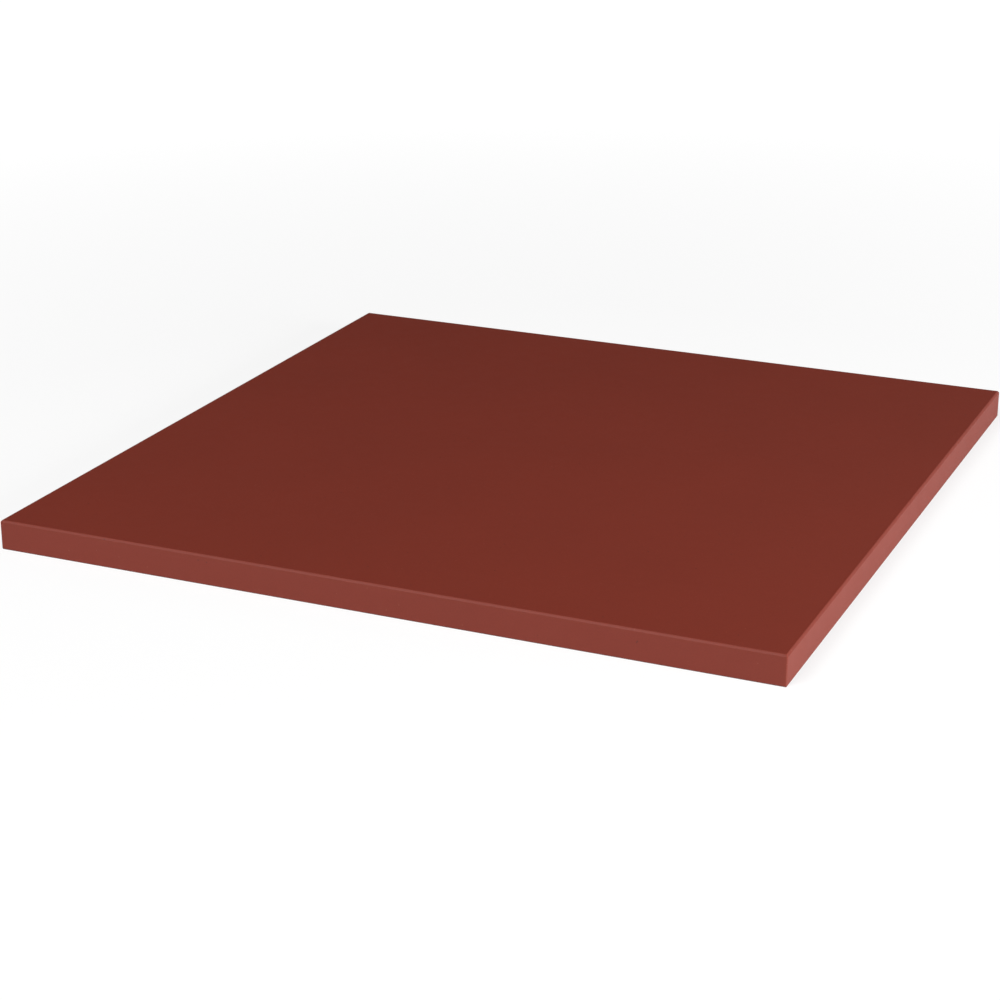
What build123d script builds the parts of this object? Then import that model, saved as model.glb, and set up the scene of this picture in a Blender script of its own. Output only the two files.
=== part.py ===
from build123d import *

import os

# Clinker floor tile: a square of unglazed red stoneware, dry pressed and fired as one piece.
# The walked-on face is smooth and flat, with a narrow bevel along its four edges. The sides are
# plain and upright. The back has a pressed keying relief that the adhesive grips: a plain rim and
# a lattice of ribs, with shallow drafted recesses between them that stop short of the sides.
#
# Frame: the origin is the centre of the back, on the plane of the ribs. +Z points out of the
# walked-on face, +X runs along the length and +Y along the width. All sizes are in millimetres.

# Driving dimensions of the tile
LENGTH = 294.0
WIDTH = 294.0
THICKNESS = 11.0
FACE_BEVEL_LEG = 0.7  # bevel along the edges of the walked-on face
CORNER_RADIUS = 0.5  # rounding of the upright corners, as the press die leaves them
BACK_BEVEL_LEG = 0.2  # bevel along the edges of the back, where the pressed edge is brushed

# Driving dimensions of the keying relief on the back
CELLS_ALONG = 12  # recesses along the length
CELLS_ACROSS = 12  # recesses across the width
RIM_WIDTH = 8.0  # plain border from the sides to the outer recesses
RIB_WIDTH = 4.0  # rib between two neighbouring recesses, on the bedding plane
RECESS_DEPTH = 0.8
RECESS_DRAFT = 30.0  # lean of a recess's walls off the upright, in degrees


def edge_section(span):
    """Upright section over one span, from the back at zero, with its four corners bevelled."""
    outline = Rectangle(span, THICKNESS, align=(Align.CENTER, Align.MIN))
    outline = chamfer(outline.vertices().group_by(Axis.Y)[-1], FACE_BEVEL_LEG)
    return chamfer(outline.vertices().group_by(Axis.Y)[0], BACK_BEVEL_LEG)


def tile_blank():
    """The tile before its keying: the two upright sections crossed, so that their bevels meet in
    mitres, and the plan's rounded corners."""
    along = extrude(Plane.YZ * edge_section(WIDTH), LENGTH / 2, both=True)
    across = extrude(Plane.XZ * edge_section(LENGTH), WIDTH / 2, both=True)
    plan = extrude(RectangleRounded(LENGTH, WIDTH, CORNER_RADIUS), THICKNESS)
    return along & across & plan


def recess_mouth(span, cells):
    """Side of one recess's mouth: what the rim and the ribs leave of the span, shared evenly."""
    return (span - 2 * RIM_WIDTH - (cells - 1) * RIB_WIDTH) / cells


def keying_recesses():
    """The drafted recesses of the back, as the punch presses them."""
    mouth_length = recess_mouth(LENGTH, CELLS_ALONG)
    mouth_width = recess_mouth(WIDTH, CELLS_ACROSS)
    recess = extrude(Rectangle(mouth_length, mouth_width), RECESS_DEPTH, taper=RECESS_DRAFT)
    places = GridLocations(
        mouth_length + RIB_WIDTH, mouth_width + RIB_WIDTH, CELLS_ALONG, CELLS_ACROSS
    )
    return [place * recess for place in places]


tile = tile_blank() - keying_recesses()
tile.label = "tile"

os.makedirs("parts", exist_ok=True)
export_step(tile, "parts/tile.step")
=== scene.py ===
"""One clinker floor tile: the fired body, its unglazed finish and the white studio it lies in."""

import logging
import math
from dataclasses import dataclass, field
from enum import Enum

import bmesh
import bpy
import numpy as np
from mathutils import Euler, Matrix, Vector


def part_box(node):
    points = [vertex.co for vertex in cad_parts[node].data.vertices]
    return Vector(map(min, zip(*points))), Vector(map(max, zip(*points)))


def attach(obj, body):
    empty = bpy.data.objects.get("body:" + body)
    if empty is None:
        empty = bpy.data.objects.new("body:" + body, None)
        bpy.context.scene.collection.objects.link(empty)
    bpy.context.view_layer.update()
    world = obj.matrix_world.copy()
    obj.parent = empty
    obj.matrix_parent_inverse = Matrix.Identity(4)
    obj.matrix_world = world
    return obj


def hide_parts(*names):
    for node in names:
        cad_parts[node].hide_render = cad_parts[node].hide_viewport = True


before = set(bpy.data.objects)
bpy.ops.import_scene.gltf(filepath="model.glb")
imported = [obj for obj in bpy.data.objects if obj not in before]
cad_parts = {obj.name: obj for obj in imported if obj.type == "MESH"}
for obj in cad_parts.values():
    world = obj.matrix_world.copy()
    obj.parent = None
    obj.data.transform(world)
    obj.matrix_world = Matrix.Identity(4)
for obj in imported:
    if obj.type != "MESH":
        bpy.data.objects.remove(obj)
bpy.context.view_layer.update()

MM = 0.001
MERGE_DISTANCE = 0.001 * MM
LOG = logging.getLogger("clinker_tile")

Colour = tuple[float, float, float]
Place = tuple[float, float, float]
Span = tuple[float, float]
Socket = bpy.types.NodeSocket
Feed = Socket | float | tuple[float, ...]

RISING: Span = (0.0, 1.0)
FALLING: Span = (1.0, 0.0)


class Zone(Enum):
    """The stretches of the tile that were pressed differently, by the name of their mesh attribute."""

    SIDE = "side_share"
    BACK = "back_share"


class Arithmetic(Enum):
    """The operations that the materials use, by the name of their node setting."""

    TIMES = "MULTIPLY"
    LARGER_OF = "MAXIMUM"
    LESS_THAN = "LESS_THAN"


@dataclass
class Patch:
    """A stretch of surface: its points, one row each, and the quads that join them."""

    points: np.ndarray
    quads: np.ndarray


def closed_rings(rings: int, around: int) -> np.ndarray:
    """Quads of a grid whose rings close on themselves.

    Args:
        rings: number of rings, from the first row of points to the last.
        around: number of points in each ring.

    Returns:
        One row of four point numbers for each quad: a point, the next one in its ring, and the
        same two in the next ring.
    """
    number = np.arange(rings * around).reshape(rings, around)
    following = np.roll(number, -1, axis=1)
    corners = (number[:-1], following[:-1], following[1:], number[1:])
    return np.stack(corners, axis=-1).reshape(-1, 4)


def open_sheet(rows: int, columns: int) -> np.ndarray:
    """Quads of a plain grid.

    Args:
        rows: number of rows of points.
        columns: number of points in each row.

    Returns:
        One row of four point numbers for each quad, in turn round it.
    """
    number = np.arange(rows * columns).reshape(rows, columns)
    corners = (number[:-1, :-1], number[:-1, 1:], number[1:, 1:], number[1:, :-1])
    return np.stack(corners, axis=-1).reshape(-1, 4)


def quarter_turns(side: np.ndarray) -> np.ndarray:
    """Carries one side's points round a square.

    Args:
        side: points of the lowest side as complex numbers, x + iy, along the last axis.

    Returns:
        The four sides in turn, each the one before multiplied by i, a quarter turn.
    """
    return np.concatenate([side * 1j**turn for turn in range(4)], axis=-1)


def square_side(half: float, steps: int) -> np.ndarray:
    """The lowest side of a square about the origin, divided evenly.

    Args:
        half: half the square's side.
        steps: number of steps along the side.

    Returns:
        The complex points from its left corner to the last one before its right corner.
    """
    step = np.arange(steps) / steps
    return (2 * step - 1 - 1j) * half


def raised(path: np.ndarray, height: np.ndarray) -> np.ndarray:
    """Gives complex points their heights.

    Args:
        path: the points, x + iy.
        height: their heights, in the same shape or one that spreads to it.

    Returns:
        One row of x, y and z for each point.
    """
    height = np.broadcast_to(height, path.shape)
    return np.stack([path.real, path.imag, height], axis=-1).reshape(-1, 3)


def joined(patches: list[Patch]) -> Patch:
    """Puts patches into one, with each one's point numbers moved past those before it.

    Args:
        patches: the patches, in order.

    Returns:
        One patch with all their points and quads.
    """
    counts = [len(patch.points) for patch in patches]
    starts = np.concatenate([[0], np.cumsum(counts)[:-1]])
    points = np.concatenate([patch.points for patch in patches])
    quads = np.concatenate([patch.quads + start for patch, start in zip(patches, starts)])
    return Patch(points, quads)


def mesh_of(name: str, patch: Patch) -> bpy.types.Mesh:
    """Makes a mesh of a patch.

    Args:
        name: the mesh's name.
        patch: its points and quads.

    Returns:
        The mesh.
    """
    mesh = bpy.data.meshes.new(name)
    mesh.from_pydata(patch.points.tolist(), [], patch.quads.tolist())
    return mesh


def put_in_scene(name: str, data: bpy.types.ID) -> bpy.types.Object:
    """Puts a new object into the scene, at the origin.

    Args:
        name: the object's name.
        data: its mesh, lamp or camera.

    Returns:
        The object.
    """
    made = bpy.data.objects.new(name, data)
    bpy.context.scene.collection.objects.link(made)
    return made


def pointing(direction: Vector) -> Euler:
    """The turn that points a lamp or a camera in a direction, with its top upwards."""
    return direction.to_track_quat("-Z", "Y").to_euler()


@dataclass(frozen=True)
class SoftNoise:
    """Soft noise over the tile: its waves to the metre, and the octaves of finer noise on top."""

    scale: float
    octaves: float


@dataclass(frozen=True)
class Specks:
    """Round specks in some of the cells of a Voronoi pattern.

    The scale is in cells to the metre and the radius in cells. The share is that of the cells that
    have a speck. A speck is full inside its core, a share of its radius, and fades out from there.
    """

    colour: Colour
    scale: float
    radius: float
    share: float
    core: float = 0.5


class ShaderSheet:
    """The node tree of one material, with short calls for the nodes that the finishes use."""

    def __init__(self, name: str) -> None:
        """Starts a material with an empty tree and an output.

        Args:
            name: the material's name.
        """
        self.material = bpy.data.materials.new(name)
        self.material.use_nodes = True
        self.tree = self.material.node_tree
        self.tree.nodes.clear()
        self.output = self.node("ShaderNodeOutputMaterial")

    def node(self, kind: str, **settings: object) -> bpy.types.Node:
        """Adds a node.

        Args:
            kind: the node's type name.
            settings: properties of the node and their values.

        Returns:
            The new node.
        """
        made = self.tree.nodes.new(kind)
        for name, value in settings.items():
            setattr(made, name, value)
        return made

    def feed(self, socket: Socket, value: Feed) -> None:
        """Sets a socket to a plain value, or links it where the value is another node's output.

        Args:
            socket: the input to fill.
            value: the plain value, or the output to link.
        """
        if isinstance(value, Socket):
            self.tree.links.new(value, socket)
        else:
            socket.default_value = value

    def place(self) -> Socket:
        """The point's place on the object, in metres."""
        return self.node("ShaderNodeTexCoord").outputs["Object"]

    def zone(self, zone: Zone) -> Socket:
        """How far a point belongs to one zone of the tile, from 0 to 1."""
        return self.node("ShaderNodeAttribute", attribute_name=zone.value).outputs["Fac"]

    def stretched(self, place: Socket, scale: Place) -> Socket:
        """A place whose axes are scaled.

        Args:
            place: the place to scale.
            scale: factors along x, y and z.

        Returns:
            The scaled place.
        """
        made = self.node("ShaderNodeMapping")
        self.feed(made.inputs["Vector"], place)
        self.feed(made.inputs["Scale"], scale)
        return made.outputs["Vector"]

    def noise(self, place: Socket, pattern: SoftNoise) -> Socket:
        """Soft noise between 0 and 1.

        Args:
            place: where it is read.
            pattern: its scale and octaves.

        Returns:
            The noise's value.
        """
        made = self.node("ShaderNodeTexNoise")
        self.feed(made.inputs["Vector"], place)
        self.feed(made.inputs["Scale"], pattern.scale)
        self.feed(made.inputs["Detail"], pattern.octaves)
        return made.outputs["Fac"]

    def spots(self, place: Socket, specks: Specks) -> Socket:
        """Where the specks are: a disc in each cell of the pattern, kept in some cells by a draw.

        Args:
            place: where the pattern is read.
            specks: their scale, size and share.

        Returns:
            1 in a speck's core, falling to 0 at its edge.
        """
        cells = self.node("ShaderNodeTexVoronoi", feature="F1")
        self.feed(cells.inputs["Vector"], place)
        self.feed(cells.inputs["Scale"], specks.scale)
        edge = (specks.core * specks.radius, specks.radius)
        disc = self.ranged(cells.outputs["Distance"], edge, FALLING)
        draw = self.node("ShaderNodeSeparateColor")
        self.feed(draw.inputs["Color"], cells.outputs["Color"])
        chosen = self.combined(Arithmetic.LESS_THAN, draw.outputs["Red"], specks.share)
        return self.combined(Arithmetic.TIMES, disc, chosen)

    def ranged(self, value: Socket, old: Span, new: Span) -> Socket:
        """Carries a value from one range to another in a straight line, held at the ends.

        Args:
            value: the value to carry.
            old: the range that it comes from.
            new: the range that it goes to.

        Returns:
            The carried value.
        """
        made = self.node("ShaderNodeMapRange")
        self.feed(made.inputs["Value"], value)
        for name, number in zip(("From Min", "From Max", "To Min", "To Max"), (*old, *new)):
            self.feed(made.inputs[name], number)
        return made.outputs["Result"]

    def combined(self, operation: Arithmetic, first: Feed, second: Feed) -> Socket:
        """Combines two values by one operation.

        Args:
            operation: the operation.
            first: its first value or socket.
            second: its second value or socket.

        Returns:
            The result.
        """
        made = self.node("ShaderNodeMath", operation=operation.value)
        for socket, value in zip(made.inputs, (first, second)):
            self.feed(socket, value)
        return made.outputs["Value"]

    def blended(self, share: Socket, first: Feed, second: Feed) -> Socket:
        """Blends two colours.

        Args:
            share: share of the second colour, from 0 to 1.
            first: colour or socket at share 0.
            second: colour or socket at share 1.

        Returns:
            The blended colour.
        """
        made = self.node("ShaderNodeMix", data_type="RGBA")
        sockets = {socket.identifier: socket for socket in made.inputs}
        self.feed(sockets["Factor_Float"], share)
        self.feed(sockets["A_Color"], first)
        self.feed(sockets["B_Color"], second)
        results = {socket.identifier: socket for socket in made.outputs}
        return results["Result_Color"]

    def bumped(self, height: Socket, distance: float, under: Socket | None = None) -> Socket:
        """The normal of a fine relief.

        Args:
            height: the relief, from 0 to 1.
            distance: the height in metres that 1 stands for.
            under: the normal that it lies on, where that isn't the surface's own.

        Returns:
            The bumped normal.
        """
        made = self.node("ShaderNodeBump")
        self.feed(made.inputs["Height"], height)
        self.feed(made.inputs["Distance"], distance)
        if under is not None:
            self.feed(made.inputs["Normal"], under)
        return made.outputs["Normal"]


def opaque(colour: Colour, level: float = 1.0) -> tuple[float, float, float, float]:
    """A colour made lighter or darker by a factor, with full opacity."""
    return (colour[0] * level, colour[1] * level, colour[2] * level, 1.0)


@dataclass(frozen=True)
class ClinkerFinish:
    """Unglazed red clinker: a dense matt body with a fine grain and sparse specks.

    Colours are linear and heights are metres. A spread is how far a colour goes to either side of
    the body's. The drag is the marks of the press die, and its stretch is what their scale is
    multiplied by along the height.
    """

    name: str = "clinker_fired_red"
    body: Colour = (0.1900, 0.0225, 0.0097)
    firing: SoftNoise = SoftNoise(scale=21.0, octaves=3.0)
    firing_spread: float = 0.05
    grain: SoftNoise = SoftNoise(scale=1700.0, octaves=2.0)
    grain_spread: float = 0.12
    grain_height: float = 0.012 * MM
    iron: Specks = Specks(colour=(0.095, 0.016, 0.009), scale=290.0, radius=0.10, share=0.16)
    grog: Specks = Specks(colour=(0.225, 0.045, 0.026), scale=430.0, radius=0.14, share=0.14)
    dust: Colour = (0.260, 0.075, 0.052)
    dusting: SoftNoise = SoftNoise(scale=260.0, octaves=4.0)
    dusting_span: Span = (0.35, 0.70)
    dusting_cover: Span = (0.15, 0.60)
    drag: SoftNoise = SoftNoise(scale=900.0, octaves=2.0)
    drag_stretch: float = 0.03
    drag_height: float = 0.010 * MM
    gloss: SoftNoise = SoftNoise(scale=110.0, octaves=3.0)
    gloss_span: Span = (0.25, 0.75)
    roughness: Span = (0.62, 0.66)
    back_roughness: float = 0.80
    specular_level: float = 0.44

    def material(self) -> bpy.types.Material:
        """Makes the material.

        The body's colour drifts with the firing, varies with the grain and takes iron spots and
        pale grog. The sides have faint upright marks of the press die, and the back is dusty.

        Returns:
            The material, on the tile's own coordinates.
        """
        sheet = ShaderSheet(self.name)
        place = sheet.place()
        grain = sheet.noise(place, self.grain)
        shader = sheet.node("ShaderNodeBsdfPrincipled")
        sheet.feed(shader.inputs["Base Color"], self._colour(sheet, place, grain))
        sheet.feed(shader.inputs["Roughness"], self._roughness(sheet, place))
        sheet.feed(shader.inputs["Specular IOR Level"], self.specular_level)
        sheet.feed(shader.inputs["Normal"], self._relief(sheet, place, grain))
        sheet.feed(sheet.output.inputs["Surface"], shader.outputs["BSDF"])
        return sheet.material

    def _colour(self, sheet: ShaderSheet, place: Socket, grain: Socket) -> Socket:
        """The colour: the body's, with the specks in it and dust on the back.

        Args:
            sheet: the material's tree.
            place: the point's place.
            grain: the grain's noise.

        Returns:
            The colour at each point.
        """
        firing = sheet.noise(place, self.firing)
        duller = opaque(self.body, 1.0 - self.firing_spread)
        redder = opaque(self.body, 1.0 + self.firing_spread)
        mottle = sheet.ranged(grain, RISING, (1.0 - self.grain_spread, 1.0 + self.grain_spread))
        body = sheet.node("ShaderNodeVectorMath", operation="SCALE")
        sheet.feed(body.inputs["Vector"], sheet.blended(firing, duller, redder))
        sheet.feed(body.inputs["Scale"], mottle)
        colour = body.outputs["Vector"]
        for specks in (self.iron, self.grog):
            colour = sheet.blended(sheet.spots(place, specks), colour, opaque(specks.colour))
        dusty = sheet.ranged(sheet.noise(place, self.dusting), self.dusting_span, self.dusting_cover)
        back = sheet.combined(Arithmetic.TIMES, dusty, sheet.zone(Zone.BACK))
        return sheet.blended(back, colour, opaque(self.dust))

    def _roughness(self, sheet: ShaderSheet, place: Socket) -> Socket:
        """The roughness: it drifts slowly over the face and is high on the back.

        Args:
            sheet: the material's tree.
            place: the point's place.

        Returns:
            The roughness at each point.
        """
        drift = sheet.ranged(sheet.noise(place, self.gloss), self.gloss_span, self.roughness)
        back = sheet.ranged(sheet.zone(Zone.BACK), RISING, (0.0, self.back_roughness))
        return sheet.combined(Arithmetic.LARGER_OF, drift, back)

    def _relief(self, sheet: ShaderSheet, place: Socket, grain: Socket) -> Socket:
        """The fine relief: the grain all over, and upright die marks on the sides.

        Args:
            sheet: the material's tree.
            place: the point's place.
            grain: the grain's noise.

        Returns:
            The bumped normal.
        """
        upright = sheet.stretched(place, (1.0, 1.0, self.drag_stretch))
        drag = sheet.combined(Arithmetic.TIMES, sheet.noise(upright, self.drag), sheet.zone(Zone.SIDE))
        grainy = sheet.bumped(grain, self.grain_height)
        return sheet.bumped(drag, self.drag_height, grainy)


@dataclass(frozen=True)
class KilnWave:
    """One slanted wave of the fired face.

    It has its half waves between the face's middle and its edge, its slant, which is how much of the
    other axis goes into its own, and its shift in radians.
    """

    half_waves: float
    slant: float
    shift: float

    def height(self, along: np.ndarray, across: np.ndarray) -> np.ndarray:
        """The sine of pi times the half waves along the slanted axis, moved by the shift."""
        return np.sin(self.half_waves * math.pi * (along + self.slant * across) + self.shift)


@dataclass
class FiredTile:
    """The fired tile: the walked-on face, its bevel, the sides and the keyed back, as one closed shell.

    Lengths are in metres. The side and the thickness come from the frame's box of the tile. A
    support is the distance of an extra line of points that keeps a bend beside it crisp. The floor
    ring divides a recess's floor, at a share of the floor's size.
    """

    side: float
    thickness: float
    name: str = "fired_tile"
    finish: ClinkerFinish = field(default_factory=ClinkerFinish)
    face_bevel: float = 0.7 * MM
    bevel_rounding: float = 0.25 * MM
    corner_radius: float = 0.5 * MM
    back_bevel: float = 0.2 * MM
    cells: int = 12
    rim: float = 8.0 * MM
    rib: float = 4.0 * MM
    recess_depth: float = 0.8 * MM
    recess_draft: float = math.radians(30.0)
    recess_corner: float = 2.0 * MM
    recess_lip: float = 0.12 * MM
    floor_ring: float = 0.55
    support: float = 0.15 * MM
    waviness: float = 0.02 * MM
    kiln_waves: tuple[KilnWave, KilnWave] = (
        KilnWave(half_waves=2.3, slant=0.4, shift=0.7),
        KilnWave(half_waves=1.7, slant=-0.3, shift=0.0),
    )
    steps_per_cell: int = 8
    turn_steps: int = 2
    corner_steps: int = 4
    rounding_steps: int = 3
    side_steps: int = 4
    wall_steps: int = 5

    @classmethod
    def from_frame(cls) -> "FiredTile":
        """The tile at the size of the frame's node."""
        low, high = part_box("tile")
        return cls(side=high.x - low.x, thickness=high.z - low.z)

    @property
    def half(self) -> float:
        """Half the tile's side."""
        return self.side / 2

    @property
    def pitch(self) -> float:
        """Distance from one recess to the next: a mouth and a rib."""
        return (self.side - 2 * self.rim + self.rib) / self.cells

    @property
    def field_half(self) -> float:
        """Half the side of the square that the recesses and their ribs fill."""
        return self.cells * self.pitch / 2

    @property
    def rounding_reach(self) -> float:
        """How far the bevel's rounded edges reach along the faces that meet there: an eighth of a
        circle touches both faces at its radius times the tangent of a sixteenth of a turn."""
        return self.bevel_rounding * math.tan(math.pi / 8)

    @property
    def face_half(self) -> float:
        """Half the side of the walked-on face, inside its bevel."""
        return self.half - self.face_bevel - self.rounding_reach

    def lattice_lines(self) -> np.ndarray:
        """The steps of the recess field, and a support line just inside the face's bevel at each end.

        Returns:
            The places of the points along one side.
        """
        steps = np.linspace(-self.field_half, self.field_half, self.cells * self.steps_per_cell + 1)
        end = self.face_half - self.support
        return np.concatenate([[-end], steps, [end]])

    def perimeter(self, inset: np.ndarray) -> np.ndarray:
        """Closed paths round the tile, set in from its sides.

        Each corner is an arc about a centre that lies the corner radius in from both sides. The
        arc's radius is the corner radius less the inset. Where the inset is larger, the corner is
        a mitre and all of its arc falls on one point.

        Args:
            inset: how far each path lies inside the sides.

        Returns:
            One row of complex points for each inset.
        """
        inset = np.asarray(inset)[:, None]
        centre = self.half - np.maximum(self.corner_radius, inset)
        radius = np.maximum(self.corner_radius - inset, 0.0)
        turn = np.linspace(-math.pi / 2, 0.0, self.corner_steps + 1)[None, :]
        corner = -centre + radius * np.sin(turn) - 1j * (centre + radius * np.cos(turn))
        straight = np.clip(self.lattice_lines()[None, :], -centre, centre) - 1j * (self.half - inset)
        return quarter_turns(np.concatenate([corner, straight], axis=1))

    def edge_profile(self) -> np.ndarray:
        """The upright section that is carried round the tile, as inset and height.

        It runs out over the back's rim, up the back's bevel and the plain side, and over the face's
        bevel, whose two edges are rounded by an eighth of a circle each.

        Returns:
            One row of inset and height for each ring, from the recess field to the face.
        """
        foot = self.back_bevel
        shoulder = self.thickness - self.face_bevel - self.rounding_reach
        rim = [(self.half - self.field_half, 0.0), (foot + self.support, 0.0), (foot, 0.0)]
        bevel = [(foot / 2, foot / 2), (0.0, foot)]
        heights = np.linspace(foot + self.support, shoulder - self.support, self.side_steps + 1)
        flank = np.column_stack([np.zeros_like(heights), heights])
        bend = np.linspace(0.0, math.pi / 4, self.rounding_steps + 1)
        lower = np.column_stack([1.0 - np.cos(bend), np.sin(bend)]) * self.bevel_rounding
        upper = np.array([self.half - self.face_half, self.thickness - shoulder]) - lower[::-1, ::-1]
        return np.concatenate([rim, bevel, flank, lower + [0.0, shoulder], upper + [0.0, shoulder]])

    def edge_patch(self) -> Patch:
        """The rim of the back, the sides and the bevel: the section carried round the perimeter.

        Returns:
            Their patch.
        """
        profile = self.edge_profile()
        path = self.perimeter(profile[:, 0])
        return Patch(raised(path, profile[:, 1:]), closed_rings(*path.shape))

    def face_patch(self) -> Patch:
        """The walked-on face: a grid on the lattice lines, as far as the bevel.

        Its height is the thickness less a shallow kiln waviness. The dip is the square of two
        crossed sine waves' mean, so it never rises above the face's plane, and it fades out at the
        bevel with a cosine along each axis.

        Returns:
            The face's patch.
        """
        edge = self.face_half
        lines = np.concatenate([[-edge], self.lattice_lines(), [edge]])
        x, y = np.meshgrid(lines, lines)
        first, second = self.kiln_waves
        mean = (first.height(x / edge, y / edge) + second.height(y / edge, x / edge)) / 2
        fade = np.cos(math.pi / 2 * x / edge) * np.cos(math.pi / 2 * y / edge)
        dip = self.waviness * mean**2 * np.clip(fade, 0.0, None)
        return Patch(raised(x + 1j * y, self.thickness - dip), open_sheet(*x.shape))

    def recess_ring(self, half_mouth: np.ndarray, radius: np.ndarray) -> np.ndarray:
        """Rounded squares about a recess's centre.

        The turn steps at each end of a side go through an eighth of a circle, and the steps between
        them divide the straight run evenly.

        Args:
            half_mouth: half the side of each ring.
            radius: each ring's corner radius.

        Returns:
            One row of complex points for each ring.
        """
        last = self.steps_per_cell
        knots = [0, self.turn_steps, last - self.turn_steps, last]
        step = np.arange(last)
        turn = np.interp(step, knots, [-math.pi / 4, 0.0, 0.0, math.pi / 4])[None, :]
        run = np.interp(step, knots, [-1.0, -1.0, 1.0, 1.0])[None, :]
        straight = (half_mouth - radius)[:, None]
        radius = radius[:, None]
        side = straight * run + radius * np.sin(turn) - 1j * (straight + radius * np.cos(turn))
        return quarter_turns(side)

    def recess_rings(self) -> tuple[np.ndarray, np.ndarray]:
        """One recess with the ribs round it, as rings from the middle of the ribs to the centre.

        The first ring is the square that the neighbours share. The wall's depth is a smooth step,
        3t squared less 2t cubed, across the run that the draft gives, with a soft lip at each end.

        Returns:
            The rings' complex points, and each ring's depth.
        """
        half_mouth = (self.pitch - self.rib) / 2
        run = self.recess_depth * math.tan(self.recess_draft)
        share = np.linspace(0.0, 1.0, self.wall_steps + 1)
        inset = -self.recess_lip + share * (run + 2 * self.recess_lip)
        inset = np.concatenate([[inset[0] - self.support], inset, [inset[-1] + self.support]])
        share = np.concatenate([[0.0], share, [1.0]])
        shared = quarter_turns(square_side(self.pitch / 2, self.steps_per_cell))[None, :]
        wall = self.recess_ring(half_mouth - inset, self.recess_corner - inset)
        floor = wall[-1:] * self.floor_ring
        pole = np.zeros_like(floor)
        rings = np.concatenate([shared, wall, floor, pole])
        depth = self.recess_depth * (3 * share**2 - 2 * share**3)
        depth = np.concatenate([[0.0], depth, [self.recess_depth, self.recess_depth]])
        return rings, depth

    def keying_patch(self) -> Patch:
        """The keyed back: one recess with its ribs, set out on the square lattice.

        Returns:
            The patch of all the recesses.
        """
        rings, depth = self.recess_rings()
        middles = (np.arange(self.cells) - (self.cells - 1) / 2) * self.pitch
        x, y = np.meshgrid(middles, middles)
        centres = (x + 1j * y).reshape(-1, 1, 1)
        quads = closed_rings(*rings.shape)[:, ::-1]
        starts = np.arange(len(centres)) * rings.size
        placed_quads = (quads[None] + starts[:, None, None]).reshape(-1, 4)
        return Patch(raised(centres + rings[None], depth[None, :, None]), placed_quads)

    def build(self) -> bpy.types.Object:
        """Joins the patches into one closed, smooth-shaded shell and dresses it.

        Returns:
            The tile's piece, at the origin.
        """
        mesh = mesh_of(self.name, joined([self.edge_patch(), self.face_patch(), self.keying_patch()]))
        welder = bmesh.new()
        welder.from_mesh(mesh)
        bmesh.ops.remove_doubles(welder, verts=welder.verts, dist=MERGE_DISTANCE)
        welder.to_mesh(mesh)
        welder.free()
        mesh.polygons.foreach_set("use_smooth", np.ones(len(mesh.polygons), dtype=bool))
        self.dress(mesh)
        return put_in_scene(self.name, mesh)

    def dress(self, mesh: bpy.types.Mesh) -> None:
        """Gives the tile its finish, and each vertex its share in the sides and in the back.

        The sides' share falls from 1 on the sides to 0 at the inner edge of the face's bevel. The
        back's share rises from 0 on the sides to 1 at the inner edge of its bevel, below half height.

        Args:
            mesh: the tile's welded mesh.
        """
        mesh.materials.append(self.finish.material())
        places = np.empty(3 * len(mesh.vertices), dtype=np.float32)
        mesh.vertices.foreach_get("co", places)
        x, y, z = places.reshape(-1, 3).T
        inset = self.half - np.maximum(np.abs(x), np.abs(y))
        shares = {
            Zone.SIDE: 1.0 - np.clip(inset / self.face_bevel, 0.0, 1.0),
            Zone.BACK: np.clip(inset / self.back_bevel, 0.0, 1.0) * (z < self.thickness / 2),
        }
        for zone, share in shares.items():
            attribute = mesh.attributes.new(zone.value, "FLOAT", "POINT")
            attribute.data.foreach_set("value", share.astype(np.float32))


@dataclass(frozen=True)
class SoftLamp:
    """A square soft box that faces the tile and isn't seen itself, in metres and watts."""

    name: str
    place: Place
    power: float
    width: float

    def hang(self) -> None:
        """Hangs the lamp, turned to the origin."""
        data = bpy.data.lights.new(self.name, "AREA")
        data.energy = self.power
        data.shape = "SQUARE"
        data.size = self.width
        lamp = put_in_scene(self.name, data)
        lamp.location = self.place
        lamp.rotation_euler = pointing(-Vector(self.place))
        lamp.visible_camera = False


@dataclass(frozen=True)
class PhotoCamera:
    """The photograph's camera, as fitted to the tile's edges.

    Its place is in metres, its angles are in degrees, and its lens and sensor are in millimetres.
    """

    name: str = "photo_camera"
    lens: float = 86.95
    sensor: float = 36.0
    place: Place = (0.34210, -0.81482, 0.32025)
    azimuth: float = 23.716
    elevation: float = 20.463

    def stand(self) -> None:
        """Makes the scene's camera, looking back along its azimuth and elevation."""
        turn = math.radians(self.azimuth)
        rise = math.radians(self.elevation)
        level = math.cos(rise)
        ahead = Vector((-math.sin(turn) * level, math.cos(turn) * level, -math.sin(rise)))
        data = bpy.data.cameras.new(self.name)
        data.lens = self.lens
        data.sensor_width = self.sensor
        camera = put_in_scene(self.name, data)
        camera.location = self.place
        camera.rotation_euler = pointing(ahead)
        bpy.context.scene.camera = camera


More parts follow.
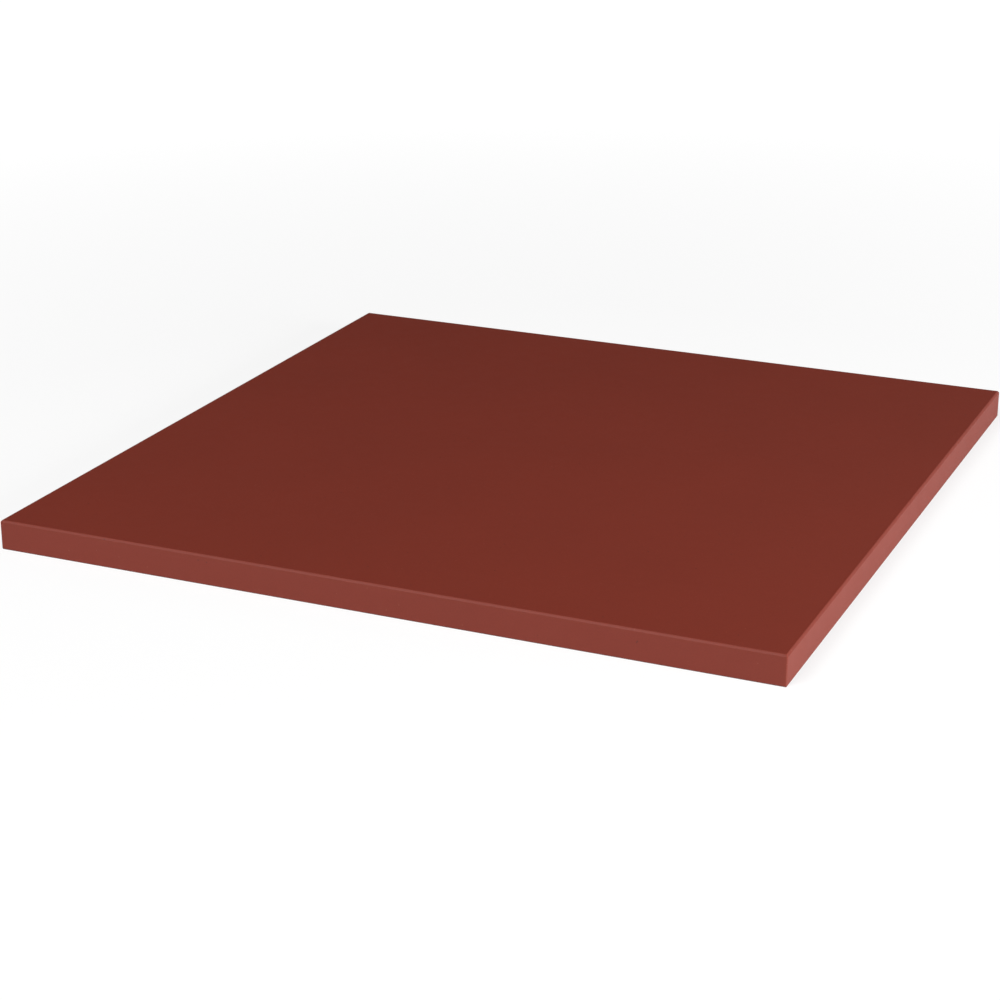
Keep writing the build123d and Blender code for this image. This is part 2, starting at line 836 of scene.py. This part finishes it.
@dataclass(frozen=True)
class StudioFloor:
    """A wide white floor just under the tile, with a round backdrop at its far edge.

    The tile covers an opening in it, through which its back can be seen and lit from below. Lengths
    are in metres. The veil is the share of plain white over the paper, at the two ends of its reach.
    """

    opening: float
    name: str = "studio_floor"
    radius: float = 12.0
    backdrop_height: float = 1.5
    steps_per_side: int = 16
    gap: float = 0.1 * MM
    albedo: float = 0.90
    glow: float = 1.04
    veil: Span = (0.75, 1.0)
    veil_reach: Span = (0.25, 0.80)

    def lay(self) -> bpy.types.Object:
        """Lays the floor as three rings: the square of the opening, a wide circle on the same level and
        the circle of the backdrop's upper edge, each point straight out from the one before.

        Returns:
            The floor's object.
        """
        square = quarter_turns(square_side(self.opening / 2, self.steps_per_side))
        circle = self.radius * square / np.abs(square)
        path = np.stack([square, circle, circle])
        level = np.array([[-self.gap], [-self.gap], [self.backdrop_height]])
        quads = closed_rings(*path.shape)[:, ::-1]
        mesh = mesh_of(self.name, Patch(raised(path, level), quads))
        mesh.materials.append(self.material())
        return put_in_scene(self.name, mesh)

    def material(self) -> bpy.types.Material:
        """White paper: diffuse for the light that falls on the tile, and mostly plain white where it
        is seen. Near the tile its faint shadow shows, and far from it the white is even.

        Returns:
            The material.
        """
        sheet = ShaderSheet("studio_white")
        paper = sheet.node("ShaderNodeBsdfDiffuse")
        sheet.feed(paper.inputs["Color"], (self.albedo, self.albedo, self.albedo, 1.0))
        white = sheet.node("ShaderNodeEmission")
        sheet.feed(white.inputs["Strength"], self.glow)
        ray = sheet.node("ShaderNodeLightPath").outputs
        mirrored = sheet.combined(Arithmetic.LARGER_OF, ray["Is Glossy Ray"], ray["Is Transmission Ray"])
        seen = sheet.combined(Arithmetic.LARGER_OF, ray["Is Camera Ray"], mirrored)
        distance = sheet.node("ShaderNodeVectorMath", operation="LENGTH")
        sheet.feed(distance.inputs["Vector"], sheet.place())
        veil = sheet.ranged(distance.outputs["Value"], self.veil_reach, self.veil)
        veiled = sheet.node("ShaderNodeMixShader")
        share, under, over = veiled.inputs
        sheet.feed(share, sheet.combined(Arithmetic.TIMES, seen, veil))
        sheet.feed(under, paper.outputs["BSDF"])
        sheet.feed(over, white.outputs["Emission"])
        sheet.feed(sheet.output.inputs["Surface"], veiled.outputs["Shader"])
        return sheet.material


@dataclass
class Studio:
    """The plain studio: a white floor, soft boxes, a low even sky and the photograph's camera."""

    floor: StudioFloor
    camera: PhotoCamera = field(default_factory=PhotoCamera)
    lamps: tuple[SoftLamp, ...] = (
        SoftLamp(name="front_soft_box", place=(-0.50, -1.50, 1.55), power=43.2, width=1.0),
        SoftLamp(name="right_soft_box", place=(1.00, -0.19, 0.24), power=11.2, width=0.4),
        SoftLamp(name="back_soft_box", place=(0.54, 0.68, 0.44), power=1.1, width=0.5),
        SoftLamp(name="under_soft_box", place=(0.0, 0.0, -0.60), power=3.4, width=0.2),
    )
    sky_colour: Colour = (1.0, 1.0, 1.0)
    sky_level: float = 0.015

    def set_up(self) -> None:
        """Builds the studio round the tile."""
        self.floor.lay()
        for lamp in self.lamps:
            lamp.hang()
            LOG.info("lamp %s: %.1f W", lamp.name, lamp.power)
        self.camera.stand()
        world = bpy.data.worlds.new("studio_sky")
        world.use_nodes = True
        sky = world.node_tree.nodes["Background"].inputs
        sky["Color"].default_value = opaque(self.sky_colour)
        sky["Strength"].default_value = self.sky_level
        bpy.context.scene.world = world
        bpy.context.scene.view_settings.view_transform = "Standard"


def main() -> None:
    """Builds the tile and the studio, and reports each piece."""
    logging.basicConfig(level=logging.INFO, format="%(name)s: %(message)s")
    tile = FiredTile.from_frame()
    piece = tile.build()
    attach(piece, "root")
    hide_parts("tile")
    LOG.info("%s: %d vertices, %d faces", piece.name, len(piece.data.vertices), len(piece.data.polygons))
    Studio(StudioFloor(opening=tile.side - 2 * tile.back_bevel)).set_up()


if __name__ == "__main__":
    main()
